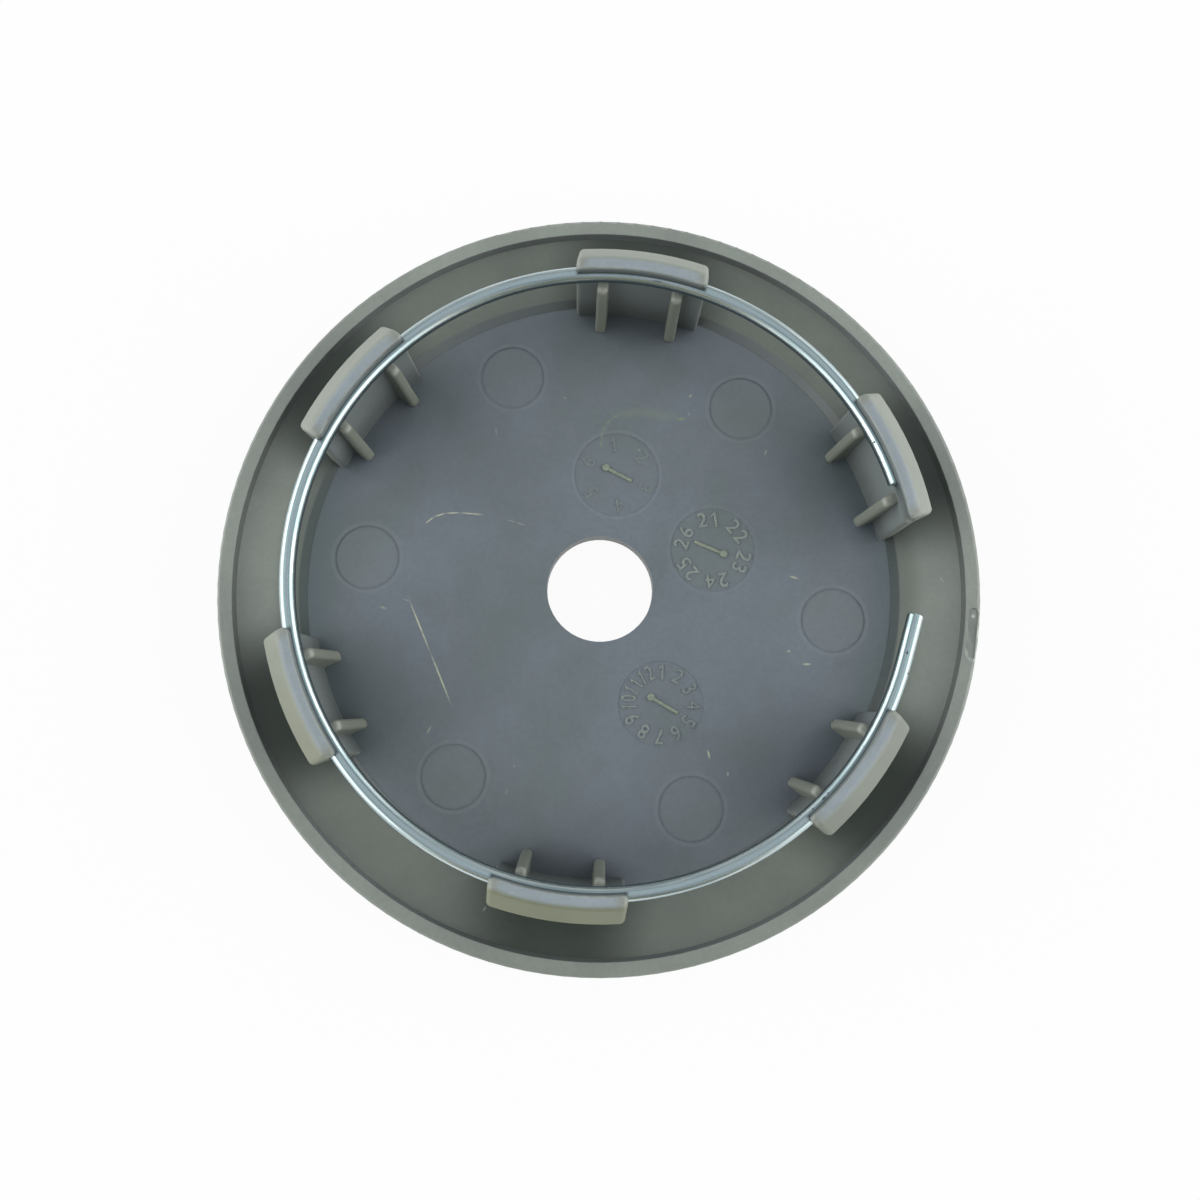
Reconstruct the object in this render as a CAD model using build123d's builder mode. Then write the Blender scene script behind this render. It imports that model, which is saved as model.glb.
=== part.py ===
from build123d import *
import os

# Wheel centre cap, front face down on the XY plane, snap tabs standing up along +Z.
# The axis of the cap is Z. All sizes are in millimetres and degrees.

# Disc
FLOOR_THICKNESS = 2.0
CENTRE_HOLE_DIAMETER = 10.0
FRONT_RECESS_DEPTH = 0.7
FRONT_RECESS_MARGIN = 0.3

# Flange and lip around the disc
FLOOR_RAMP_INSET = 0.75
FLOOR_RAMP_WIDTH = 0.7
FLOOR_RAMP_HEIGHT = 0.5
FLANGE_WIDTH = 5.25
FLANGE_RISE = 1.7
LIP_STEP_WIDTH = 0.2
LIP_STEP_HEIGHT = 0.8
LIP_WIDTH = 1.4
LIP_EDGE_RADIUS = 0.35
LIP_INNER_RADIUS = 0.1
RIM_EDGE_HEIGHT = 1.9
FRONT_LAND_WIDTH = 1.2

# Snap tabs, with heights above the floor of the disc
TAB_COUNT = 6
TAB_FIRST_ANGLE = 22.3
TAB_WIDTH = 11.7
TAB_RING_DIAMETER = 53.4
TAB_WALL = 1.65
TAB_INNER_LEAN = 0.3
TAB_CORNER_RADIUS = 0.4
LEDGE_HEIGHT = 8.65
GROOVE_DEPTH = 0.7
HEAD_OVERHANG = 0.87
HEAD_THICKNESS = 0.85
HEAD_INNER_RADIUS = 0.25
HEAD_RIDGE_RADIUS = 0.9
HEAD_END_RADIUS = 0.5
HOOK_REACH = 1.05
HOOK_LAND = 0.3
HOOK_UNDERCUT = 0.9
LEAD_IN_WIDTH = 1.5
LEAD_IN_HEIGHT = 1.75

# Two gusset ribs behind each tab
RIB_THICKNESS = 1.0
RIB_INSET = 2.0
RIB_FOOT = 2.0
RIB_FOOT_HEIGHT = 0.5
RIB_TOP_FLAT = 1.5
RIB_TOP_DROP = 0.3
RIB_TIP_RADIUS = 0.5
RIB_EDGE_RADIUS = 0.38

# Mould marks on the floor: ejector pins and three date dials, as radius and angle
PIN_MARK_DIAMETER = 6.0
PIN_MARK_INSET = 4.6
PIN_MARK_DEPTH = 0.08
DIAL_DIAMETER = 8.0
DIAL_DEPTH = 0.06
DIAL_PLACES = ((11.1, 81.7), (11.3, 19.3), (12.2, 297.7))

# Trimmed gate on the lip
GATE_LENGTH = 4.9
GATE_WIDTH = 0.9
GATE_DEPTH = 0.15
GATE_ANGLE = 352.4

# Retaining wire, an open ring that lies in the groove of the tabs
WIRE_DIAMETER = 1.4
WIRE_CLEARANCE = 0.05
WIRE_START_ANGLE = 17.3
WIRE_SWEEP_ANGLE = 326.6
WIRE_TAIL = 4.2
WIRE_END_RADIUS = 0.15

# Heights
floor_z = FRONT_RECESS_DEPTH + FLOOR_THICKNESS
flange_inner_z = floor_z + FLOOR_RAMP_HEIGHT
flange_outer_z = flange_inner_z + FLANGE_RISE
lip_z = flange_outer_z + LIP_STEP_HEIGHT
rim_low_z = lip_z - RIM_EDGE_HEIGHT
ledge_z = floor_z + LEDGE_HEIGHT
groove_top_z = ledge_z + WIRE_DIAMETER + 2 * WIRE_CLEARANCE
head_z = groove_top_z + HEAD_THICKNESS
hook_tip_z = head_z - LEAD_IN_HEIGHT
wire_z = (ledge_z + groove_top_z) / 2

# Radii
hole_r = CENTRE_HOLE_DIAMETER / 2
tab_inner_r = TAB_RING_DIAMETER / 2
tab_outer_r = tab_inner_r + TAB_WALL
ledge_r = tab_inner_r + TAB_INNER_LEAN
groove_r = ledge_r + GROOVE_DEPTH
head_r = groove_r - HEAD_OVERHANG
hook_r = tab_outer_r + HOOK_REACH
ridge_r = hook_r - LEAD_IN_WIDTH
floor_r = tab_inner_r + FLOOR_RAMP_INSET
flange_inner_r = floor_r + FLOOR_RAMP_WIDTH
flange_outer_r = flange_inner_r + FLANGE_WIDTH
lip_inner_r = flange_outer_r + LIP_STEP_WIDTH
rim_r = lip_inner_r + LIP_WIDTH
recess_r = tab_inner_r + FRONT_RECESS_MARGIN
land_r = recess_r + FRONT_LAND_WIDTH
pin_mark_r = tab_inner_r - PIN_MARK_INSET
gate_r = rim_r - LIP_WIDTH / 2
wire_r = groove_r - WIRE_CLEARANCE - WIRE_DIAMETER / 2

tab_pitch = 360 / TAB_COUNT
rib_offset = TAB_WIDTH / 2 - RIB_INSET - RIB_THICKNESS / 2
rib_foot_x = tab_inner_r - RIB_FOOT
rib_top_z = ledge_z - RIB_TOP_DROP
wall_middle_r = (ledge_r + tab_outer_r) / 2
root_z = floor_z - FLOOR_THICKNESS / 2

# Margin for choosing edges and faces by their place
HAIR = 0.01


def on_head_outline(edge):
    """The end edges of a hook head above its groove and along its lead-in slope."""
    centre = edge.center()
    on_slope = centre.X > groove_r and centre.Z > hook_tip_z - HOOK_LAND
    return on_slope or centre.Z > groove_top_z + HAIR


def on_wall_corner(edge):
    """The long upright end edges of a tab's wall."""
    return edge.center().Z < ledge_z - HAIR and edge.length > LEDGE_HEIGHT / 2


# One snap tab on the +X side: a ring section cut to a parallel-sided block
with BuildPart() as tab:
    with BuildSketch(Plane.XZ) as tab_section:
        with BuildLine():
            Polyline(
                (tab_inner_r, root_z),
                (tab_inner_r, floor_z),
                (ledge_r, ledge_z),
                (groove_r, ledge_z),
                (groove_r, groove_top_z),
                (head_r, groove_top_z),
                (head_r, head_z),
                (ridge_r, head_z),
                (hook_r, hook_tip_z),
                (hook_r, hook_tip_z - HOOK_LAND),
                (tab_outer_r, hook_tip_z - HOOK_LAND - HOOK_UNDERCUT),
                (tab_outer_r, root_z),
                close=True,
            )
        make_face()
        fillet(tab_section.vertices().group_by(Axis.Y)[-1].sort_by(Axis.X)[0], radius=HEAD_INNER_RADIUS)
        fillet(tab_section.vertices().group_by(Axis.Y)[-1].sort_by(Axis.X)[-1], radius=HEAD_RIDGE_RADIUS)
    revolve(axis=Axis.Z)
    with Locations((0, 0, root_z)):
        Box(
            hook_r,
            TAB_WIDTH,
            head_z - root_z,
            align=(Align.MIN, Align.CENTER, Align.MIN),
            mode=Mode.INTERSECT,
        )

    # Rounded ends of the head, then rounded upright corners of the wall
    fillet(tab.faces().filter_by(Axis.Y).edges().filter_by(on_head_outline), radius=HEAD_END_RADIUS)
    fillet(tab.faces().filter_by(Axis.Y).edges().filter_by(on_wall_corner), radius=TAB_CORNER_RADIUS)

# The two gusset ribs of that tab, sloping from the wall down to the floor
with BuildPart() as ribs:
    with BuildSketch(Plane.XZ.offset(rib_offset), Plane.XZ.offset(-rib_offset)) as rib_section:
        with BuildLine():
            Polyline(
                (wall_middle_r, root_z),
                (rib_foot_x, root_z),
                (rib_foot_x, floor_z + RIB_FOOT_HEIGHT),
                (ledge_r - RIB_TOP_FLAT, rib_top_z),
                (wall_middle_r, rib_top_z),
                close=True,
            )
        make_face()
        fillet(rib_section.vertices().group_by(Axis.Y)[-1].sort_by(Axis.X)[0], radius=RIB_TIP_RADIUS)
    extrude(amount=RIB_THICKNESS / 2, both=True)
    rib_fronts = ribs.faces().filter_by(lambda face: face.normal_at().X < -HAIR)
    fillet(rib_fronts.edges().filter_by(lambda edge: abs((edge % 0.5).Y) < HAIR), radius=RIB_EDGE_RADIUS)

# The moulding: a revolved disc with flange and lip, six tabs and the marks of its mould
with BuildPart() as cap_moulding:
    with BuildSketch(Plane.XZ) as disc_section:
        with BuildLine():
            Polyline((hole_r, FRONT_RECESS_DEPTH), (recess_r, FRONT_RECESS_DEPTH), (recess_r, 0), (land_r, 0))
            TangentArc((land_r, 0), (rim_r, rim_low_z), tangent=(1, 0))
            Polyline(
                (rim_r, rim_low_z),
                (rim_r, lip_z),
                (lip_inner_r, lip_z),
                (flange_outer_r, flange_outer_z),
                (flange_inner_r, flange_inner_z),
                (floor_r, floor_z),
                (hole_r, floor_z),
                (hole_r, FRONT_RECESS_DEPTH),
            )
        make_face()
        fillet(disc_section.vertices().group_by(Axis.Y)[-1].sort_by(Axis.X)[0], radius=LIP_INNER_RADIUS)
        fillet(disc_section.vertices().group_by(Axis.Y)[-1].sort_by(Axis.X)[-1], radius=LIP_EDGE_RADIUS)
    revolve(axis=Axis.Z)

    with PolarLocations(0, TAB_COUNT, start_angle=TAB_FIRST_ANGLE):
        add(tab.part)
        add(ribs.part)

    with Locations((0, 0, floor_z)):
        with PolarLocations(pin_mark_r, TAB_COUNT, start_angle=TAB_FIRST_ANGLE + tab_pitch / 2):
            Cylinder(
                PIN_MARK_DIAMETER / 2,
                PIN_MARK_DEPTH,
                align=(Align.CENTER, Align.CENTER, Align.MAX),
                mode=Mode.SUBTRACT,
            )
        for dial_r, dial_angle in DIAL_PLACES:
            with PolarLocations(dial_r, 1, start_angle=dial_angle):
                Cylinder(
                    DIAL_DIAMETER / 2,
                    DIAL_DEPTH,
                    align=(Align.CENTER, Align.CENTER, Align.MAX),
                    mode=Mode.SUBTRACT,
                )

    with BuildSketch(Plane.XY.offset(lip_z)):
        with PolarLocations(gate_r, 1, start_angle=GATE_ANGLE):
            SlotOverall(GATE_LENGTH, GATE_WIDTH, rotation=90)
    extrude(amount=-GATE_DEPTH, mode=Mode.SUBTRACT)

# The wire: a round bar bent to an open ring, with its last stretch left straight
with BuildPart() as retaining_wire:
    with BuildLine(Plane.XY.offset(wire_z)):
        bend = CenterArc((0, 0), wire_r, WIRE_START_ANGLE, WIRE_SWEEP_ANGLE)
        Line(bend @ 1, bend @ 1 + WIRE_TAIL * (bend % 1))
    with BuildSketch(Plane(origin=bend @ 0, z_dir=bend % 0)):
        Circle(WIRE_DIAMETER / 2)
    sweep()
    fillet(retaining_wire.faces().filter_by(GeomType.PLANE).edges(), radius=WIRE_END_RADIUS)

os.makedirs("parts", exist_ok=True)
cap_moulding.part.label = "cap_moulding"
export_step(cap_moulding.part, "parts/cap_moulding.step")
retaining_wire.part.label = "retaining_wire"
export_step(retaining_wire.part, "parts/retaining_wire.step")
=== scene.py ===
import math

import bpy
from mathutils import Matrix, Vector


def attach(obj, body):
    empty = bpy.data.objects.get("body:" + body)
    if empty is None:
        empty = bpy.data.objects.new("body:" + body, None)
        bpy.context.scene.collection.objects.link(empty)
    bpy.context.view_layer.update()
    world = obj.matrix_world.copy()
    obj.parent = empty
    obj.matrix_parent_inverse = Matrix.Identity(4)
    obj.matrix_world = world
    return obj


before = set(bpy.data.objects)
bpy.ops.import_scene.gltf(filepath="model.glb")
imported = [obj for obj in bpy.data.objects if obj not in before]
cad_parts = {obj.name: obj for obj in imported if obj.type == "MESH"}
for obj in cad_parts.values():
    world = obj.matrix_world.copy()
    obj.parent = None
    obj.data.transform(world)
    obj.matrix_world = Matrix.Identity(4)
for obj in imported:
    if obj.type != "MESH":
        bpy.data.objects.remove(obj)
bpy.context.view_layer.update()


# The cap is one injection moulding in grey plastic: a disc with a conical flange and a raised lip,
# six hooked snap tabs with two gusset ribs each, and the marks that its mould leaves behind.
# The mould is polished under the floor and the tab heads, and finely eroded over flange and lip.

# Levels, radii and angles of the moulding, in millimetres and degrees
MM_PER_METRE = 1000
FLOOR_LEVEL = 2.7
FLOOR_EDGE_RADIUS = 27.45
FLANGE_INNER_RADIUS = 28.15
STEP_RADIUS = 33.36
LIP_LEVEL = 5.7
LEDGE_LEVEL = 11.35
HEAD_LEVEL = 13.7
TAB_FIRST_ANGLE = 22.3
TAB_PITCH = 60.0
TAB_INNER_RADIUS = 26.7
TAB_HALF_WIDTH = 5.85
PIN_RING_RADIUS = 22.1
PIN_RADIUS = 3.0
DIAL_RADIUS = 4.0
DIAL_CENTRES = {"top_dial": (1.60, 10.98), "year_dial": (10.66, 3.73), "month_dial": (5.67, -10.80)}


def tone(red, green, blue):
    """A colour written as it shows on a screen, 0 to 255, turned to the light values of a shader."""
    def light(value):
        value = value / 255
        return value / 12.92 if value <= 0.04045 else ((value + 0.055) / 1.055) ** 2.4
    return (light(red), light(green), light(blue), 1.0)


def put(tree, kind, inputs=None, **settings):
    """Adds one node, sets it up and joins its inputs to sockets or gives them values."""
    made = tree.nodes.new(kind)
    for name, value in settings.items():
        setattr(made, name, value)
    for socket, value in (inputs or {}).items():
        if isinstance(value, bpy.types.NodeSocket):
            tree.links.new(value, made.inputs[socket])
        else:
            made.inputs[socket].default_value = value
    return made


def work(tree, operation, first, second=0.0):
    """One step of arithmetic on numbers."""
    return put(tree, "ShaderNodeMath", {0: first, 1: second}, operation=operation).outputs[0]


def move(tree, operation, first, second=(0.0, 0.0, 0.0)):
    """One step of arithmetic on places; lengths, distances and products come out as numbers."""
    made = put(tree, "ShaderNodeVectorMath", {0: first, 1: second}, operation=operation)
    return made.outputs["Value" if operation in ("LENGTH", "DISTANCE", "DOT_PRODUCT") else "Vector"]


def fade(tree, value, start, end, low=0.0, high=1.0):
    """Goes smoothly from low to high while a value goes from start to end."""
    inputs = {"Value": value, "From Min": start, "From Max": end, "To Min": low, "To Max": high}
    return put(tree, "ShaderNodeMapRange", inputs, interpolation_type="SMOOTHSTEP").outputs[0]


def gather(tree, operation, values):
    """Joins several masks or distances to one."""
    total = values[0]
    for value in values[1:]:
        total = work(tree, operation, total, value)
    return total


def overlap(tree, *masks):
    """Where several masks meet; a number among them sets the strength."""
    return gather(tree, "MULTIPLY", masks)


def flip(tree, mask):
    """All that a mask leaves out."""
    return work(tree, "SUBTRACT", 1.0, mask)


def paint(tree, share, first, second, how="MIX"):
    """Lays a second colour over a first one."""
    made = put(tree, "ShaderNodeMix", {0: share, 6: first, 7: second}, data_type="RGBA", blend_type=how)
    return made.outputs[2]


def coat(tree, colour, layers):
    """Lays several tones over a colour in turn, each within its own mask."""
    for mask, layer in layers:
        colour = paint(tree, mask, colour, layer)
    return colour


def grey(tree, value):
    """A number as a colour."""
    return put(tree, "ShaderNodeCombineColor", {0: value, 1: value, 2: value}).outputs[0]


def effect(name, inputs, outputs):
    """An empty node group with named sockets: F for numbers and V for places."""
    kinds = {"F": "NodeSocketFloat", "V": "NodeSocketVector"}
    group = bpy.data.node_groups.new(name, "ShaderNodeTree")
    for label, kind in inputs.items():
        group.interface.new_socket(label, in_out="INPUT", socket_type=kinds[kind])
    for label, kind in outputs.items():
        group.interface.new_socket(label, in_out="OUTPUT", socket_type=kinds[kind])
    start, end = group.nodes.new("NodeGroupInput"), group.nodes.new("NodeGroupOutput")
    return group, start.outputs, end.inputs


def use(tree, group, inputs):
    """Places a node group with its own values."""
    return put(tree, "ShaderNodeGroup", inputs, node_tree=group).outputs


def new_material(name):
    """A material, its node tree, its shader and its place on the object in millimetres."""
    material = bpy.data.materials.new(name)
    material.use_nodes = True
    tree = material.node_tree
    spot = use(tree, cap_place, {"Object": put(tree, "ShaderNodeTexCoord").outputs["Object"]})
    return material, tree, tree.nodes["Principled BSDF"], spot


# Places in millimetres, with the distance from the axis and the places beside the nearest tab
cap_place, given, result = effect(
    "cap_place",
    {"Object": "V"},
    {"Place": "V", "Flat": "V", "Radius": "F", "Height": "F", "Angle": "F", "Along": "F", "Across": "F"},
)
half_pitch = math.radians(TAB_PITCH / 2)
place = move(cap_place, "MULTIPLY", given["Object"], (MM_PER_METRE, MM_PER_METRE, MM_PER_METRE))
flat = move(cap_place, "MULTIPLY", place, (1, 1, 0))
parts = put(cap_place, "ShaderNodeSeparateXYZ", {0: place}).outputs
radius = move(cap_place, "LENGTH", flat)
angle = work(cap_place, "ARCTAN2", parts["Y"], parts["X"])
turned = work(cap_place, "SUBTRACT", angle, math.radians(TAB_FIRST_ANGLE) - half_pitch)
within_pitch = work(cap_place, "FLOORED_MODULO", turned, 2 * half_pitch)
folded = work(cap_place, "SUBTRACT", within_pitch, half_pitch)
along = work(cap_place, "MULTIPLY", radius, work(cap_place, "COSINE", folded))
across = work(cap_place, "ABSOLUTE", work(cap_place, "MULTIPLY", radius, work(cap_place, "SINE", folded)))
for label, value in {"Place": place, "Flat": flat, "Radius": radius, "Height": parts["Z"],
                     "Angle": angle, "Along": along, "Across": across}.items():
    cap_place.links.new(value, result[label])

# A long thin mark that runs out at both ends: its reach is below 1 inside it
scratch_mark, given, result = effect(
    "scratch_mark",
    {"Flat": "V", "Middle": "V", "Turn": "V", "Size": "V"},
    {"Reach": "F"},
)
laid = put(
    scratch_mark,
    "ShaderNodeMapping",
    {"Vector": given["Flat"], "Location": given["Middle"], "Rotation": given["Turn"], "Scale": given["Size"]},
    vector_type="TEXTURE",
)
scratch_mark.links.new(move(scratch_mark, "LENGTH", laid.outputs[0]), result["Reach"])

# Cloudy tone, fine specks and fine grain of a moulded plastic surface, as scale and detail
GRAINS = {"Cloud": (0.13, 2.0), "Speck": (2.4, 1.0), "Grain": (6.0, 0.0)}
moulded_grain, given, result = effect("moulded_grain", {"Place": "V"}, {label: "F" for label in GRAINS})
for label, (scale, detail) in GRAINS.items():
    inputs = {"Vector": given["Place"], "Scale": scale, "Detail": detail}
    noise = put(moulded_grain, "ShaderNodeTexNoise", inputs)
    moulded_grain.links.new(noise.outputs["Fac"], result[label])

moulding, tree, shader, spot = new_material("moulded_grey_plastic")
height, radius, across = spot["Height"], spot["Radius"], spot["Across"]
surface = use(tree, moulded_grain, {"Place": spot["Place"]})
facing = put(tree, "ShaderNodeNewGeometry").outputs["Normal"]
upward = put(tree, "ShaderNodeSeparateXYZ", {0: facing}).outputs["Z"]
leaning = move(tree, "DOT_PRODUCT", facing, move(tree, "NORMALIZE", spot["Flat"]))

# Masks for the way a face looks and for the side of the cap that it is on
level_face = fade(tree, upward, 0.3, 0.7)
upright_face = flip(tree, fade(tree, upward, 0.5, 0.9))
inward_face = fade(tree, leaning, -0.5, -0.85)
backward = fade(tree, work(tree, "SINE", spot["Angle"]), -0.9, 0.3)
rightward = work(tree, "COSINE", spot["Angle"])
sideways = fade(tree, work(tree, "ABSOLUTE", rightward), 0.75, 0.98)

# Masks for the surfaces of disc, flange and lip
TAB_SHADE_START = TAB_HALF_WIDTH + 4.2
TAB_SHADE_FULL = TAB_HALF_WIDTH - 3.6
CORNER_DEPTH = 3.7

within_floor = fade(tree, radius, FLOOR_EDGE_RADIUS + 0.1, FLOOR_EDGE_RADIUS - 0.05)
beside_tab = fade(tree, across, TAB_SHADE_START, TAB_SHADE_FULL)
on_floor = overlap(tree, level_face, within_floor, fade(tree, height, FLOOR_LEVEL + 0.14, FLOOR_LEVEL + 0.04))
towards_tab = fade(tree, spot["Along"], TAB_INNER_RADIUS - CORNER_DEPTH, TAB_INNER_RADIUS)
in_corner = overlap(tree, on_floor, towards_tab)
on_rim = overlap(tree, flip(tree, within_floor), fade(tree, height, LIP_LEVEL + 0.5, LIP_LEVEL + 0.3))
on_lip = overlap(tree, on_rim, fade(tree, radius, STEP_RADIUS + 0.05, STEP_RADIUS + 0.15))
on_flange = overlap(tree, level_face, work(tree, "SUBTRACT", on_rim, on_lip))
outer_flange = fade(tree, radius, FLANGE_INNER_RADIUS + 0.5, FLANGE_INNER_RADIUS + 2.5)
on_ramp = overlap(
    tree,
    level_face,
    fade(tree, height, FLOOR_LEVEL + 1.2, FLOOR_LEVEL + 0.9),
    fade(tree, radius, FLOOR_EDGE_RADIUS - 0.12, FLOOR_EDGE_RADIUS),
    fade(tree, radius, FLANGE_INNER_RADIUS + 0.15, FLANGE_INNER_RADIUS - 0.1),
)

# Masks for the surfaces of tabs and ribs
on_head = fade(tree, height, LEDGE_LEVEL - 0.3, LEDGE_LEVEL + 0.2)
on_head_top = overlap(
    tree,
    on_head,
    fade(tree, upward, 0.75, 0.99),
    fade(tree, across, TAB_HALF_WIDTH - 0.3, TAB_HALF_WIDTH - 1.5),
)
on_slope = overlap(tree, on_head, fade(tree, leaning, 0.15, 0.65))
on_rib = overlap(
    tree,
    fade(tree, radius, TAB_INNER_RADIUS - 0.1, TAB_INNER_RADIUS - 0.25),
    fade(tree, height, FLOOR_LEVEL + 0.15, FLOOR_LEVEL + 0.4),
)

# Tones of the plastic. A pair runs between cloudy patches on the floor, from the front and back to the
# sides on flange and ramp, from front to back on the lip, from left to right on the front slopes, and
# from foot to top on the ribs. All pairs but the floor's are painted light and shade.
PLASTIC_TONE = tone(118, 122, 117)
# Floor: cloudy patches of the plastic, with a bluish cast that is partly a painted reflection of the top
# light
FLOOR_TONES = (tone(106, 116, 120), tone(107, 116, 124))
FLANGE_TONE_AND_SHEEN = (tone(103, 110, 102), tone(123, 130, 123))
RAMP_SHADE_TONES = (tone(88, 97, 99), tone(62, 73, 75))
LIP_TONES = (tone(128, 135, 128), tone(136, 143, 136))
HEAD_TONE = tone(132, 137, 130)
# Head tops paler and bluish: partly a painted reflection of the bluish top light
HEAD_TOP_TONE = tone(139, 150, 156)
FRONT_SLOPE_TONES = (tone(115, 120, 97), tone(115, 122, 111))
BACK_SLOPE_TONE = tone(140, 147, 137)
WALL_TONE = tone(114, 121, 121)
RIB_TONES = (tone(119, 124, 114), tone(138, 142, 133))
STEP_SHADE = tone(80, 85, 76)
STEP_SHADE_STRENGTH = 0.45
UNDER_HEAD_SHADE = tone(46, 54, 54)
UNDER_HEAD_STRENGTH = 0.45

floor_tone = paint(tree, fade(tree, surface["Cloud"], 0.35, 0.65), *FLOOR_TONES)
# Outer flange paler at the left and right: a painted sheen of the side lights
flange_tone_and_sheen = paint(tree, overlap(tree, sideways, outer_flange), *FLANGE_TONE_AND_SHEEN)
# Ramp painted darker than the floor as shade, and darker still at the left and right
ramp_shade_tone = paint(tree, sideways, *RAMP_SHADE_TONES)
# Lip lighter towards the back: painted light
lip_tone = paint(tree, backward, *LIP_TONES)
# Front slopes darker and yellower, most of all on the left, and back slopes lighter: painted light
front_slope_tone = paint(tree, fade(tree, rightward, -0.2, 0.8), *FRONT_SLOPE_TONES)
slope_tone = paint(tree, backward, front_slope_tone, BACK_SLOPE_TONE)
# Rib tops paler: a painted highlight
rib_tone = paint(tree, fade(tree, height, LEDGE_LEVEL - 1.0, LEDGE_LEVEL - 0.4), *RIB_TONES)
on_step = overlap(tree, inward_face, on_rim, sideways, STEP_SHADE_STRENGTH)
below_head_edge = fade(tree, height, HEAD_LEVEL - 0.15, HEAD_LEVEL - 0.5)
shade_under_head = overlap(tree, inward_face, on_head, below_head_edge, UNDER_HEAD_STRENGTH)
colour = coat(tree, PLASTIC_TONE, (
    (on_floor, floor_tone),
    (on_flange, flange_tone_and_sheen),
    (on_ramp, ramp_shade_tone),
    (on_lip, lip_tone),
    (on_head, HEAD_TONE),
    (on_head_top, HEAD_TOP_TONE),
    (on_slope, slope_tone),
    (inward_face, WALL_TONE),
    (on_step, STEP_SHADE),
    (shade_under_head, UNDER_HEAD_SHADE),
    (on_rib, rib_tone),
))

# Shade painted on where the soft light alone leaves it too weak, and the plastic's own mottling
FLANGE_DIMMING = 0.7
LIP_DIMMING = 0.06
CORNER_DIMMING = 0.1
WALL_DIMMING_HEIGHT = 5.5
WALL_DIMMING = (0.03, 0.45)
FLOOR_DIMMING_RADII = (17.0, 26.0)
FLOOR_DIMMING = 0.2
FLANGE_FOOT_WIDTH = 2.0
FLANGE_FOOT_DIMMING = 0.08

towards_wall_foot = fade(tree, height, FLOOR_LEVEL + WALL_DIMMING_HEIGHT, FLOOR_LEVEL, *WALL_DIMMING)
towards_floor_edge = fade(tree, radius, *FLOOR_DIMMING_RADII, 0.0, FLOOR_DIMMING)
towards_flange_foot = fade(
    tree, radius, FLANGE_INNER_RADIUS + FLANGE_FOOT_WIDTH, FLANGE_INNER_RADIUS, 0.0, FLANGE_FOOT_DIMMING
)
dimming = gather(tree, "ADD", (
    overlap(tree, on_flange, beside_tab, FLANGE_DIMMING),
    overlap(tree, on_lip, beside_tab, LIP_DIMMING),
    overlap(tree, in_corner, beside_tab, CORNER_DIMMING),
    overlap(tree, inward_face, flip(tree, on_rib), towards_wall_foot),
    overlap(tree, on_floor, towards_floor_edge),
    overlap(tree, on_flange, towards_flange_foot),
))
cloudy = fade(tree, surface["Cloud"], 0.3, 0.7, 0.93, 1.06)
speckled = fade(tree, surface["Speck"], 0.3, 0.7, 0.97, 1.03)
# The plastic's own mottling, times the painted shade above
mottling_and_painted_shade = overlap(tree, cloudy, speckled, flip(tree, dimming))
colour = paint(tree, 1.0, colour, grey(tree, mottling_and_painted_shade), "MULTIPLY")

# Deeper, tinted shade at the floor's edge, along the left of the flange and around the tabs
FLOOR_EDGE_SHADE = tone(66, 82, 82)
FLOOR_EDGE_RADII = (23.5, 27.3)
FLOOR_EDGE_STRENGTH = 0.45
LEFT_STRIP_SHADE = tone(70, 81, 78)
LEFT_STRIP_STRENGTH = 0.4
CORNER_SHADE = tone(40, 57, 68)
CORNER_SHADE_STRENGTH = 0.2
FLANGE_SHADE = tone(33, 55, 41)
FLANGE_SHADE_STRENGTH = 0.4

dim_edge = overlap(tree, on_floor, sideways, fade(tree, radius, *FLOOR_EDGE_RADII, 0.0, FLOOR_EDGE_STRENGTH))
at_far_left = fade(tree, rightward, -0.7, -0.97, 0.0, LEFT_STRIP_STRENGTH)
colour = coat(tree, colour, (
    (dim_edge, FLOOR_EDGE_SHADE),
    (overlap(tree, on_flange, flip(tree, outer_flange), at_far_left), LEFT_STRIP_SHADE),
    (overlap(tree, in_corner, beside_tab, CORNER_SHADE_STRENGTH), CORNER_SHADE),
    (overlap(tree, on_flange, beside_tab, FLANGE_SHADE_STRENGTH), FLANGE_SHADE),
))

# Discs and witness lines of pins and dials, from the distance outside the nearest circle. The witness
# lines are painted shade and painted highlight: dark just inside each pin's edge, pale just outside it
# and outside the top and year dials.
pin_spot = put(tree, "ShaderNodeCombineXYZ", {0: spot["Along"], 1: across}).outputs[0]
pin_centre = (PIN_RING_RADIUS * math.cos(half_pitch), PIN_RING_RADIUS * math.sin(half_pitch), 0)
outside_pin = work(tree, "SUBTRACT", move(tree, "DISTANCE", pin_spot, pin_centre), PIN_RADIUS)
outside_dials = {
    dial: work(tree, "SUBTRACT", move(tree, "DISTANCE", spot["Flat"], (*centre, 0)), DIAL_RADIUS)
    for dial, centre in DIAL_CENTRES.items()
}
outside_dial = gather(tree, "MINIMUM", tuple(outside_dials.values()))
for outside, strength, disc_tone in (
    (outside_pin, 0.2, tone(113, 122, 117)),
    (outside_dial, 0.12, tone(104, 114, 109)),
    (outside_dials["year_dial"], 0.28, tone(103, 113, 108)),
):
    disc = overlap(tree, on_floor, fade(tree, outside, 0.1, -0.4, 0.0, strength))
    colour = paint(tree, disc, colour, disc_tone)
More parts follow.
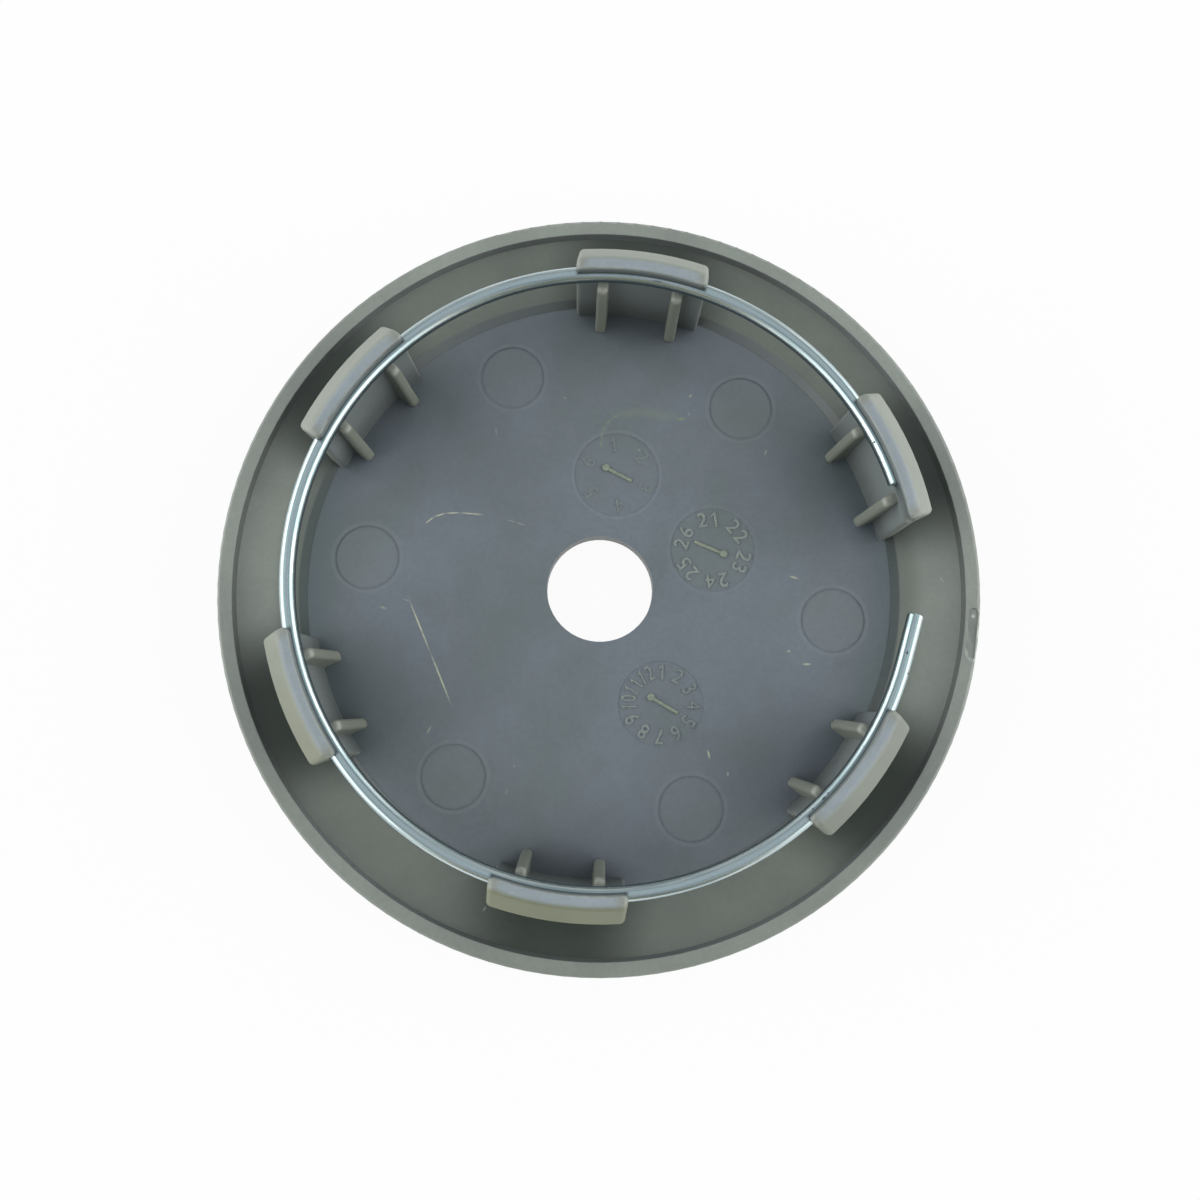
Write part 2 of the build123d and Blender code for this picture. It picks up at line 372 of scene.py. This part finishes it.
# Painted shade and highlight along the edges of pins and dials
for outside, offset, half_width, strength, line_tone in (
    (outside_pin, -0.05, 0.25, 0.09, tone(66, 74, 76)),
    (outside_pin, 0.26, 0.26, 0.1, tone(152, 160, 158)),
    (outside_dials["top_dial"], 0.2, 0.22, 0.14, tone(152, 160, 165)),
    (outside_dials["year_dial"], 0.16, 0.22, 0.07, tone(152, 160, 158)),
):
    apart = work(tree, "ABSOLUTE", work(tree, "SUBTRACT", outside, offset))
    line = overlap(tree, on_floor, fade(tree, apart, half_width, 0.0, 0.0, strength))
    colour = paint(tree, line, colour, line_tone)

# Scratches and olive smears: half width, strength and a run of points
SCRATCHES = (
    (0.09, 0.95, ((-16.48, 6.21), (-15.7, 6.86), (-14.6, 7.2), (-13.24, 7.24), (-11.06, 7.06))),
    (0.06, 0.4, ((-8.78, 6.57), (-7.92, 6.33), (-7.07, 6.0))),
    (0.06, 0.4, ((-18.51, -0.97), (-17.81, -1.21))),
    (0.1, 1.0, ((-17.85, -1.16), (-15.85, -5.96), (-13.88, -10.69))),
)
SMEARS = (
    (0.16, 0.45, ((0.09, 13.64), (0.12, 14.4), (0.25, 15.13), (0.55, 15.8), (1.08, 16.41), (2.0, 16.95))),
    (0.6, 0.2, ((1.2, 16.75), (5.1, 17.3))),
    (0.6, 0.2, ((3.1, 17.25), (7.8, 16.5))),
    (0.13, 0.75, ((7.3, 16.38), (8.26, 16.48))),
)
SCRATCH_OVERLAP = 1.2

# Flecks on the floor: place, turn, length and strength
FLECKS = (
    (-9.91, 15.13, 99, 0.9, 0.3), (15.84, 13.17, 69, 0.65, 0.4), (18.31, 1.12, 164, 1.0, 0.6),
    (-20.29, -1.82, 160, 0.7, 0.35), (-15.82, -13.21, 65, 0.9, 0.35), (-7.94, -16.51, 60, 0.3, 0.2),
    (-8.59, -18.84, 65, 0.6, 0.2), (17.7, -5.87, 0, 0.25, 0.6), (19.36, -7.08, 2, 0.85, 0.7),
    (10.08, -15.46, 101, 1.0, 0.85), (11.83, -17.22, 96, 0.45, 0.6), (8.71, 18.72, 50, 0.5, 0.4),
    (8.55, 16.94, 70, 0.3, 0.25), (3.74, 13.39, 20, 0.2, 0.55), (1.35, 14.36, 80, 0.4, 0.3),
    (-3.35, 18.47, 0, 0.2, 0.35),
)
FLECK_HALF_WIDTH = 0.12
FLECK_END = 0.05

# Pale marks on flange and lip: place, turn, half length, half width and strength
RIM_MARKS = (
    (34.22, -2.86, 0, 0.24, 0.22, 1.0), (33.62, -4.45, 92, 1.2, 0.16, 0.4),
    (33.45, -6.25, 98, 0.65, 0.22, 0.8), (33.86, -6.85, 163, 0.55, 0.22, 0.9),
    (31.8, 0.7, 120, 0.4, 0.09, 0.3), (-10.38, -29.18, 60, 0.3, 0.1, 0.4),
)

# The trimmed gate on the lip, its cut face and its whole slot: middle, turn and half sizes
GATE_FACE = ((34.15, -4.2, 0), -1.62, (1.25, 0.3, 1))
GATE_SLOT = ((34.0, -4.55, 0), -1.7, (2.9, 0.85, 1))

SCRATCH_TONE = tone(194, 196, 170)
SMEAR_TONE = tone(134, 148, 108)
RIM_MARK_TONE = tone(182, 188, 181)
GATE_FACE_TONE = tone(92, 100, 96)
GATE_FACE_STRENGTH = 0.3
GATE_WALL_TONE = tone(196, 202, 196)
GATE_WALL_STRENGTH = 0.75
DIAL_WALL_PAINTED_LIGHT = tone(176, 184, 188)
DIAL_WALL_STRENGTH = 0.6


def strokes(runs):
    """The straight marks that make up some runs of points."""
    marks = []
    for half_width, strength, run in runs:
        for start, end in zip(run, run[1:]):
            start, end = Vector(start), Vector(end)
            turn = math.atan2(end.y - start.y, end.x - start.x)
            size = (SCRATCH_OVERLAP * (end - start).length / 2, half_width, 1)
            marks.append(((*((start + end) / 2), 0), turn, size, strength))
    return marks


def reach_of(tree, spot, middle, turn, size):
    """The reach of one mark, in the material that carries it."""
    inputs = {"Flat": spot["Flat"], "Middle": middle, "Turn": (0, 0, turn), "Size": size}
    return use(tree, scratch_mark, inputs)["Reach"]


def marked(tree, spot, marks):
    """One mask for several marks, each given as middle, turn, half sizes and strength."""
    masks = []
    for middle, turn, size, strength in marks:
        masks.append(fade(tree, reach_of(tree, spot, middle, turn, size), 1.1, 0.2, 0.0, strength))
    return gather(tree, "MAXIMUM", masks)


scratches = strokes(SCRATCHES)
for x, y, degrees, length, strength in FLECKS:
    size = (length / 2 + FLECK_END, FLECK_HALF_WIDTH, 1)
    scratches.append(((x, y, 0), math.radians(degrees), size, strength))
rim_marks = []
for x, y, degrees, half_length, half_width, strength in RIM_MARKS:
    rim_marks.append(((x, y, 0), math.radians(degrees), (half_length, half_width, 1), strength))

gate_face = overlap(
    tree,
    on_lip,
    fade(tree, reach_of(tree, spot, *GATE_FACE), 1.2, 0.6, 0.0, GATE_FACE_STRENGTH),
)
gate_wall = overlap(
    tree,
    on_lip,
    upright_face,
    fade(tree, reach_of(tree, spot, *GATE_SLOT), 1.1, 0.9, 0.0, GATE_WALL_STRENGTH),
    fade(tree, radius, STEP_RADIUS + 0.4, STEP_RADIUS + 0.55),
)
# Dial walls painted pale: painted light over the shade at the dial edges
dial_wall = overlap(
    tree,
    upright_face,
    fade(tree, work(tree, "ABSOLUTE", outside_dial), 0.1, 0.03, 0.0, DIAL_WALL_STRENGTH),
    fade(tree, height, FLOOR_LEVEL + 0.1, FLOOR_LEVEL + 0.03),
)
broken_up = fade(tree, surface["Speck"], 0.3, 0.5, 0.6, 1.0)
colour = coat(tree, colour, (
    (gate_face, GATE_FACE_TONE),
    (gate_wall, GATE_WALL_TONE),
    (dial_wall, DIAL_WALL_PAINTED_LIGHT),
    (overlap(tree, marked(tree, spot, rim_marks), on_rim, level_face), RIM_MARK_TONE),
    (overlap(tree, marked(tree, spot, strokes(SMEARS)), on_floor), SMEAR_TONE),
    (overlap(tree, marked(tree, spot, scratches), on_floor, broken_up), SCRATCH_TONE),
))
tree.links.new(colour, shader.inputs["Base Color"])

# Sheen: satin all over, a little smoother on the floor, and dull on the ramp at the sides
RIM_ROUGHNESS = 0.46
FLOOR_ROUGHNESS = 0.42
ROUGHNESS_SPREAD = 0.04
RAMP_ROUGHNESS = 0.9
GRAIN_STRENGTH = 0.25
GRAIN_DEPTH = 0.00003

even_rough = fade(tree, on_floor, 0.0, 1.0, RIM_ROUGHNESS, FLOOR_ROUGHNESS)
uneven = fade(tree, surface["Speck"], 0.3, 0.7, -ROUGHNESS_SPREAD, ROUGHNESS_SPREAD)
rough = work(tree, "ADD", even_rough, uneven)
rough = work(tree, "MAXIMUM", rough, overlap(tree, on_ramp, sideways, RAMP_ROUGHNESS))
tree.links.new(rough, shader.inputs["Roughness"])
shader.inputs["Specular IOR Level"].default_value = 0.8
inputs = {"Strength": GRAIN_STRENGTH, "Distance": GRAIN_DEPTH, "Height": surface["Grain"]}
tree.links.new(put(tree, "ShaderNodeBump", inputs).outputs[0], shader.inputs["Normal"])
cap_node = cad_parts["cap_moulding"]
cap_node.data.materials.clear()
cap_node.data.materials.append(moulding)


# The three dials are date stamps of the mould, left in the plastic as low raised figures around a
# raised pointer. They belong to the moulding and are a little paler than the floor around them.

DIAL_FLOOR = 2.64
FIGURE_RISE = 0.1
FIGURE_EDGE = 0.03
FIGURE_SWELL = 0.008
FIGURE_PITCH = 0.87
FIGURE_TEXT_SHARE = 0.72
FIGURE_CURVE_STEPS = 4
ONE_OUTLINE = (
    (-0.03, -0.5), (0.09, -0.5), (0.09, 0.5), (0.0, 0.5), (-0.2, 0.31), (-0.2, 0.19), (-0.03, 0.33),
)
TIGHT_FIGURE = "4"
TIGHT_FIGURE_EDGE = 0.009
POINTER_WIDTH = 0.34
POINTER_RISE = 0.16
POINTER_EDGE = 0.102
POINTER_DOT_RADIUS = 0.36
POINTER_DOT_RISE = 0.208
POINTER_DOT_EDGE = 0.08
POINTER_DOT_SIDES = 24
ROUNDING_STEPS = 3
MERGE_DISTANCE = 0.0005
SMOOTH_ANGLE = math.radians(35)

# For each dial: its numbers, the angle of the first, the radius that they stand on, their rise, their
# height, and the widths of a single figure and of one in a pair
DIAL_FIGURES = {
    "year_dial": (range(21, 27), 97, 2.87, FIGURE_RISE, 1.4, (1.0, 1.0)),
    "month_dial": (range(1, 13), 87.5, 2.95, FIGURE_RISE, 1.42, (0.85, 0.66)),
    "top_dial": (range(1, 7), 95, 2.9, FIGURE_RISE / 2, 1.4, (1.0, 1.0)),
}

# For each dial: the tip and the tail of its pointer
DIAL_POINTERS = {
    "top_dial": ((0.57, 11.64), (2.88, 10.42)),
    "year_dial": ((11.70, 3.35), (9.11, 4.46)),
    "month_dial": ((4.76, -10.17), (7.14, -11.60)),
}

FIGURE_TONES = (tone(126, 135, 133), tone(138, 146, 141))
FAINT_TONE = tone(114, 123, 125)
TOP_DIAL_FAINTNESS = 0.85
MONTH_DIAL_FAINTNESS = (0.2, 0.65)
POINTER_TONES = (tone(128, 137, 124), tone(141, 149, 135))

figures, tree, shader, spot = new_material("raised_figures")
surface = use(tree, moulded_grain, {"Place": spot["Place"]})
colour = paint(tree, fade(tree, surface["Speck"], 0.3, 0.7), *FIGURE_TONES)
# Figures darker towards their foot: painted shade where they meet the dial
foot_shade = fade(tree, spot["Height"], DIAL_FLOOR, DIAL_FLOOR + FIGURE_RISE, 0.85, 1.0)
colour = paint(tree, 1.0, colour, grey(tree, foot_shade), "MULTIPLY")
month_x, month_y = DIAL_CENTRES["month_dial"]
from_top = move(tree, "DISTANCE", spot["Flat"], (*DIAL_CENTRES["top_dial"], 0))
from_month = move(tree, "DISTANCE", spot["Flat"], (month_x, month_y, 0))
place_x = put(tree, "ShaderNodeSeparateXYZ", {0: spot["Flat"]}).outputs["X"]
month_wear = fade(tree, place_x, month_x - 1.5, month_x + 2.5, *MONTH_DIAL_FAINTNESS)
faint = gather(tree, "MAXIMUM", (
    fade(tree, from_top, DIAL_RADIUS + 0.2, DIAL_RADIUS, 0.0, TOP_DIAL_FAINTNESS),
    overlap(tree, fade(tree, from_month, DIAL_RADIUS + 0.2, DIAL_RADIUS), month_wear),
))
colour = paint(tree, faint, colour, FAINT_TONE)
tree.links.new(colour, shader.inputs["Base Color"])
shader.inputs["Roughness"].default_value = 0.5

pointers, tree, shader, spot = new_material("raised_pointers")
surface = use(tree, moulded_grain, {"Place": spot["Place"]})
colour = paint(tree, fade(tree, surface["Speck"], 0.3, 0.7), *POINTER_TONES)
tree.links.new(colour, shader.inputs["Base Color"])
shader.inputs["Roughness"].default_value = 0.45


def pick_none():
    """Leaves nothing selected."""
    bpy.ops.object.select_all(action="DESELECT")


def pick(*pieces):
    """Selects some pieces alone, with the first as the active one."""
    pick_none()
    for piece in pieces:
        piece.select_set(True)
    bpy.context.view_layer.objects.active = pieces[0]


def round_edges(width):
    """Rounds every edge of the active piece."""
    bpy.ops.object.mode_set(mode="EDIT")
    bpy.ops.mesh.select_all(action="SELECT")
    bpy.ops.mesh.bevel(offset=width, segments=ROUNDING_STEPS, affect="EDGES")
    bpy.ops.object.mode_set(mode="OBJECT")


def settle(piece, name, material):
    """Closes the mesh of a piece drawn in millimetres, shrinks it to metres and joins it to the cap."""
    pick(piece)
    bpy.ops.object.transform_apply(location=True, rotation=True, scale=True)
    bpy.ops.object.mode_set(mode="EDIT")
    bpy.ops.mesh.select_all(action="SELECT")
    bpy.ops.mesh.remove_doubles(threshold=MERGE_DISTANCE)
    bpy.ops.mesh.normals_make_consistent(inside=False)
    bpy.ops.object.mode_set(mode="OBJECT")
    bpy.ops.object.shade_smooth_by_angle(angle=SMOOTH_ANGLE)
    piece.scale = (1 / MM_PER_METRE, 1 / MM_PER_METRE, 1 / MM_PER_METRE)
    bpy.ops.object.transform_apply(location=False, rotation=False, scale=True)
    piece.name = name
    piece.data.name = name
    piece.data.materials.clear()
    piece.data.materials.append(material)
    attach(piece, "root")


def draw_one(x, y, turn, tall):
    """The outline of a one with its flag, as a flat curve."""
    outline = bpy.data.curves.new("one", "CURVE")
    outline.dimensions = "2D"
    outline.fill_mode = "BOTH"
    corners = outline.splines.new("POLY")
    corners.points.add(len(ONE_OUTLINE) - 1)
    corners.use_cyclic_u = True
    for point, (sideward, upward) in zip(corners.points, ONE_OUTLINE):
        point.co = (sideward * tall, upward * tall, 0, 1)
    piece = bpy.data.objects.new("one", outline)
    bpy.context.scene.collection.objects.link(piece)
    piece.location = (x, y, DIAL_FLOOR)
    piece.rotation_euler = (0, 0, turn)
    return piece


def draw_figure(figure, x, y, turn, tall):
    """Any other figure, as text."""
    bpy.ops.object.text_add(location=(x, y, DIAL_FLOOR), rotation=(0, 0, turn))
    piece = bpy.context.object
    piece.data.body = figure
    piece.data.align_x, piece.data.align_y = "CENTER", "CENTER"
    piece.data.size = tall / FIGURE_TEXT_SHARE
    piece.data.resolution_u = FIGURE_CURVE_STEPS
    piece.data.offset = 0.0 if figure == TIGHT_FIGURE else FIGURE_SWELL
    return piece


def raise_figure(figure, x, y, turn, rise, tall, width):
    """One raised figure with rounded edges, standing on the floor of a dial."""
    pick_none()
    piece = draw_one(x, y, turn, tall) if figure == "1" else draw_figure(figure, x, y, turn, tall)
    edge = TIGHT_FIGURE_EDGE if figure == TIGHT_FIGURE else FIGURE_EDGE
    piece.data.extrude = rise - edge
    piece.data.bevel_depth = edge
    piece.data.bevel_resolution = 1
    piece.scale.x = width
    pick(piece)
    bpy.ops.object.convert(target="MESH")
    return bpy.context.object


def stamp_figures(name, centre, numbers, first_angle, text_radius, rise, tall, widths):
    """Numbers set clockwise around a dial with their tops outwards, as one mesh."""
    made = []
    for index, number in enumerate(numbers):
        label = str(number)
        angle = math.radians(first_angle - 360 * index / len(numbers))
        turn = angle - math.pi / 2
        width = widths[len(label) - 1]
        for order, figure in enumerate(label):
            shift = (order - (len(label) - 1) / 2) * FIGURE_PITCH * tall * width
            x = centre[0] + text_radius * math.cos(angle) + shift * math.cos(turn)
            y = centre[1] + text_radius * math.sin(angle) + shift * math.sin(turn)
            made.append(raise_figure(figure, x, y, turn, rise, tall, width))
    pick(*made)
    bpy.ops.object.join()
    settle(bpy.context.object, name, figures)


def stamp_pointer(name, tip, tail):
    """A raised bar with a round head at its tip."""
    tip, tail = Vector(tip), Vector(tail)
    turn = math.atan2(tail.y - tip.y, tail.x - tip.x)
    middle = (*((tip + tail) / 2), DIAL_FLOOR + POINTER_RISE / 2)
    pick_none()
    bpy.ops.mesh.primitive_cube_add(size=1, location=middle, rotation=(0, 0, turn))
    bar = bpy.context.object
    bar.scale = ((tail - tip).length + POINTER_WIDTH, POINTER_WIDTH, POINTER_RISE)
    bpy.ops.object.transform_apply(location=True, rotation=True, scale=True)
    round_edges(POINTER_EDGE)
    pick_none()
    bpy.ops.mesh.primitive_cylinder_add(
        vertices=POINTER_DOT_SIDES,
        radius=POINTER_DOT_RADIUS,
        depth=POINTER_DOT_RISE,
        location=(*tip, DIAL_FLOOR + POINTER_DOT_RISE / 2),
    )
    dot = bpy.context.object
    round_edges(POINTER_DOT_EDGE)
    pick(bar, dot)
    bpy.ops.object.join()
    settle(bpy.context.object, name, pointers)


for dial, figure_setting in DIAL_FIGURES.items():
    stamp_figures(dial + "_figures", DIAL_CENTRES[dial], *figure_setting)
for dial, (tip, tail) in DIAL_POINTERS.items():
    stamp_pointer(dial + "_pointer", tip, tail)


# The retaining wire is a ring of drawn spring steel with a bright zinc coat, sprung into the groove
# under the tab heads. Drawing has left fine lines along it, and fitting has left a few small nicks.

HEAD_INNER_RADIUS = 26.83
LINES_ACROSS = 9.0
LINES_AROUND = 5.0
LINE_BUMP_STRENGTH = 0.35
LINE_BUMP_DEPTH = 0.00002
WIRE_ROUGHNESS = (0.34, 0.2)

# Tones around the wire, painted light and shade: a paler painted reflection on its top, painted
# dulling beside it at the left and right of the cap, which keeps the bright streaks there narrow, a
# painted dark reflection along its inner edge and a painted shadow close under the heads
WIRE_TONES = (tone(162, 183, 188), tone(216, 227, 228))
WIRE_TOP_REFLECTION = tone(214, 237, 238)
WIRE_TOP_LEAN = 0.1
DULLED_REFLECTION_TONE = tone(129, 152, 155)
INNER_EDGE_REFLECTION = tone(74, 84, 86)
HEAD_SHADOW_TONE = tone(58, 68, 70)
NICK_TONE = tone(70, 76, 80)

# Nicks in the wire: place, half length along the wire, half width and strength
NICKS = (
    (23.78, 11.62, 0.2, 0.13, 1.0), (4.98, 26.09, 0.6, 0.09, 0.6), (18.65, -19.0, 0.3, 0.12, 0.9),
    (19.01, -18.57, 0.15, 0.1, 0.8), (17.69, -19.88, 0.14, 0.1, 0.8), (22.12, -14.7, 0.1, 0.08, 0.6),
    (26.03, -6.78, 0.18, 0.14, 0.9), (26.14, -8.54, 0.18, 0.14, 0.9),
)

zinc, tree, shader, spot = new_material("bright_zinc_wire")
drawn = put(tree, "ShaderNodeCombineXYZ", {
    0: work(tree, "MULTIPLY", spot["Radius"], LINES_ACROSS),
    1: work(tree, "MULTIPLY", spot["Height"], LINES_ACROSS),
    2: work(tree, "MULTIPLY", spot["Angle"], LINES_AROUND),
}).outputs[0]
lines = put(tree, "ShaderNodeTexNoise", {"Vector": drawn, "Scale": 1.0, "Detail": 2.0}).outputs["Fac"]
facing = put(tree, "ShaderNodeNewGeometry").outputs["Normal"]
leaning = move(tree, "DOT_PRODUCT", facing, move(tree, "NORMALIZE", spot["Flat"]))
off_top = work(tree, "ABSOLUTE", work(tree, "ADD", leaning, WIRE_TOP_LEAN))
at_sides = fade(tree, work(tree, "ABSOLUTE", work(tree, "COSINE", spot["Angle"])), 0.4, 0.85)
# Painted dulling of the reflection beside the top, at the left and right
beside_top = overlap(
    tree,
    at_sides,
    fade(tree, off_top, 0.18, 0.3),
    fade(tree, off_top, 0.5, 0.38, 0.2, 0.9),
)
# Painted shadow of the tab heads, on the wire and on the heads' inner faces
shade_under_head = overlap(
    tree,
    fade(tree, spot["Radius"], HEAD_INNER_RADIUS - 0.17, HEAD_INNER_RADIUS - 0.05, 0.0, 0.8),
    fade(tree, spot["Across"], TAB_HALF_WIDTH + 0.1, TAB_HALF_WIDTH - 0.3),
)
nicks = []
for x, y, half_length, half_width, strength in NICKS:
    nicks.append(((x, y, 0), math.atan2(x, -y), (half_length, half_width, 1), strength))
# Drawn lines and nicks are the wire's own; the other layers are painted reflection, dulling and shadow
colour = coat(tree, paint(tree, fade(tree, lines, 0.3, 0.7), *WIRE_TONES), (
    (fade(tree, off_top, 0.3, 0.15, 0.0, 0.7), WIRE_TOP_REFLECTION),
    (beside_top, DULLED_REFLECTION_TONE),
    (fade(tree, leaning, -0.82, -0.97, 0.0, 0.75), INNER_EDGE_REFLECTION),
    (shade_under_head, HEAD_SHADOW_TONE),
    (marked(tree, spot, nicks), NICK_TONE),
))
tree.links.new(colour, shader.inputs["Base Color"])
tree.links.new(fade(tree, lines, 0.3, 0.7, *WIRE_ROUGHNESS), shader.inputs["Roughness"])
inputs = {"Strength": LINE_BUMP_STRENGTH, "Distance": LINE_BUMP_DEPTH, "Height": lines}
tree.links.new(put(tree, "ShaderNodeBump", inputs).outputs[0], shader.inputs["Normal"])
shader.inputs["Metallic"].default_value = 1.0
wire_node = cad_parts["retaining_wire"]
wire_node.data.materials.clear()
wire_node.data.materials.append(zinc)


# The table is a plain white sheet that runs on past the view and keeps the cap's soft shadow.
# To the camera and in shiny surfaces it shows as white.

TABLE_SIZE = 6.0
TABLE_DROP = 0.00002
TABLE_COLOUR = (0.8, 0.8, 0.8, 1)
WHITE = (1, 1, 1, 1)
BACKGROUND_SHARE = 0.94

pick_none()
bpy.ops.mesh.primitive_plane_add(size=TABLE_SIZE, location=(0, 0, -TABLE_DROP))
table = bpy.context.object
bpy.ops.object.transform_apply(location=True, rotation=True, scale=True)
table.name = "white_table"
sheet = bpy.data.materials.new("white_sheet")
sheet.use_nodes = True
tree = sheet.node_tree
shader = tree.nodes["Principled BSDF"]
shader.inputs["Base Color"].default_value = TABLE_COLOUR
shader.inputs["Roughness"].default_value = 0.9
glow = put(tree, "ShaderNodeEmission", {"Color": WHITE, "Strength": 1.0})
ray = put(tree, "ShaderNodeLightPath").outputs
seen = gather(tree, "MAXIMUM", (ray["Is Camera Ray"], ray["Is Glossy Ray"], ray["Is Transmission Ray"]))
share = work(tree, "MULTIPLY", seen, BACKGROUND_SHARE)
mixed = put(tree, "ShaderNodeMixShader", {0: share, 1: shader.outputs[0], 2: glow.outputs[0]})
tree.links.new(mixed.outputs[0], tree.nodes["Material Output"].inputs["Surface"])
table.data.materials.append(sheet)


# The light is a tent over the table: two large soft panels at the left and right, a dimmer bluish top,
# a little light from behind and least from the front.

SIDE_LIGHT = (3.0, 3.0, 2.96, 1)
TOP_LIGHT = (0.41, 0.43, 0.46, 1)
BACK_LIGHT = (0.5, 0.51, 0.5, 1)
FRONT_LIGHT = (0.24, 0.23, 0.16, 1)
DARK_EDGE = (0.0, 0.0, 0.0, 1)

# Where each light begins and where it is full, along the Y, Z or X of the direction it comes from
FRONT_TO_BACK = (-0.8, 0.8)
TOP_SPAN = (0.35, 0.8)
SIDE_SPAN = (0.45, 0.85)
DARK_EDGE_SPAN = (0.08, -0.03)

world = bpy.data.worlds.new("light_tent")
bpy.context.scene.world = world
world.use_nodes = True
tree = world.node_tree
tent = tree.nodes["Background"]
way = put(tree, "ShaderNodeSeparateXYZ", {0: put(tree, "ShaderNodeTexCoord").outputs["Generated"]}).outputs
light = paint(tree, fade(tree, way["Y"], *FRONT_TO_BACK), FRONT_LIGHT, BACK_LIGHT)
light = coat(tree, light, (
    (fade(tree, way["Z"], *TOP_SPAN), TOP_LIGHT),
    (fade(tree, work(tree, "ABSOLUTE", way["X"]), *SIDE_SPAN), SIDE_LIGHT),
    (fade(tree, way["Z"], *DARK_EDGE_SPAN), DARK_EDGE),
))
tree.links.new(light, tent.inputs["Color"])
tent.inputs["Strength"].default_value = 1.0
white = put(tree, "ShaderNodeBackground", {"Color": WHITE, "Strength": 1.0})
ray = put(tree, "ShaderNodeLightPath").outputs
sky = put(tree, "ShaderNodeMixShader", {0: ray["Is Camera Ray"], 1: tent.outputs[0], 2: white.outputs[0]})
tree.links.new(sky.outputs[0], tree.nodes["World Output"].inputs["Surface"])
bpy.context.scene.view_settings.view_transform = "Standard"


# The camera looks down on the back of the cap from just in front of its middle and a little to the left.
# Its distance is taken from the floor of the disc, and its lens from the photograph's width.

VIEW_DISTANCE = 0.110
VIEW_LEAN = math.radians(7.52)
VIEW_TILT = math.radians(6.97)
VIEW_SIDE = -0.0014
VIEW_TURN = math.radians(-0.74)
NEAREST_SIGHT = 0.001
SENSOR_WIDTH = 36.0
FOCAL_PIXELS = 1169.1
PHOTO_WIDTH = 1200

view = bpy.data.cameras.new("view")
view.sensor_width = SENSOR_WIDTH
view.lens = SENSOR_WIDTH * FOCAL_PIXELS / PHOTO_WIDTH
view.clip_start = NEAREST_SIGHT
camera = bpy.data.objects.new("view", view)
camera.location = (
    VIEW_SIDE,
    -VIEW_DISTANCE * math.sin(VIEW_LEAN),
    VIEW_DISTANCE * math.cos(VIEW_LEAN) + FLOOR_LEVEL / MM_PER_METRE,
)
camera.rotation_euler = (VIEW_TILT, VIEW_TURN, 0)
bpy.context.scene.collection.objects.link(camera)
bpy.context.scene.camera = camera
